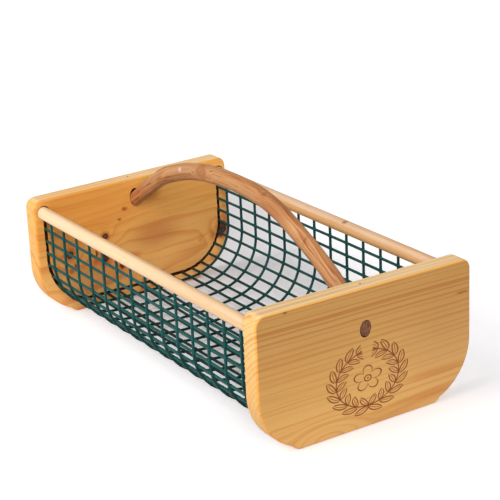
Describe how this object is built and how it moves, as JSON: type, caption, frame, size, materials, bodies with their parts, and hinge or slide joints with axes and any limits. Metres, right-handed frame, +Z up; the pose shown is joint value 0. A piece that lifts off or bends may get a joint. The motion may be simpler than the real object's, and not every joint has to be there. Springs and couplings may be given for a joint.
{
  "type": "garden hod",
  "caption": "Harvest basket: two rounded wooden end boards joined by dowel rails, with a U-shaped body of coated welded wire and a bent wooden carrying handle.",
  "frame": {"origin": "on the ground under the middle of the basket, at the centre of the boards' feet", "axes": "+X along the rails from the left end board to the right end board, +Y across the hod from the front rail to the back rail, +Z up"},
  "size_m": [0.4, 0.216, 0.1725],
  "materials": {
    "end_board_wood": "oiled pine, satin",
    "rail_wood": "pale sanded dowel",
    "handle_wood": "bent hardwood, oiled",
    "coated_wire": "dark green plastic coating, satin",
    "brad_steel": "dull steel"
  },
  "bodies": {
    "root": {"back_rail": "rail_wood", "carrying_handle": "handle_wood", "cross_wire_01": "coated_wire", "cross_wire_02": "coated_wire", "cross_wire_03": "coated_wire", "cross_wire_04": "coated_wire", "cross_wire_05": "coated_wire", "cross_wire_06": "coated_wire", "cross_wire_07": "coated_wire", "cross_wire_08": "coated_wire", "cross_wire_09": "coated_wire", "cross_wire_10": "coated_wire", "cross_wire_11": "coated_wire", "cross_wire_12": "coated_wire", "cross_wire_13": "coated_wire", "cross_wire_14": "coated_wire", "front_rail": "rail_wood", "left_end_board": "end_board_wood", "left_handle_brad": "brad_steel", "long_wire_01": "coated_wire", "long_wire_02": "coated_wire", "long_wire_03": "coated_wire", "long_wire_04": "coated_wire", "long_wire_05": "coated_wire", "long_wire_06": "coated_wire", "long_wire_07": "coated_wire", "long_wire_08": "coated_wire", "long_wire_09": "coated_wire", "long_wire_10": "coated_wire", "long_wire_11": "coated_wire", "long_wire_12": "coated_wire", "long_wire_13": "coated_wire", "long_wire_14": "coated_wire", "long_wire_15": "coated_wire", "long_wire_16": "coated_wire", "long_wire_17": "coated_wire", "long_wire_18": "coated_wire", "long_wire_19": "coated_wire", "long_wire_20": "coated_wire", "long_wire_21": "coated_wire", "long_wire_22": "coated_wire", "long_wire_23": "coated_wire", "long_wire_24": "coated_wire", "long_wire_25": "coated_wire", "long_wire_26": "coated_wire", "long_wire_27": "coated_wire", "right_end_board": "end_board_wood", "right_handle_brad": "brad_steel"}
  },
  "joints": []
}
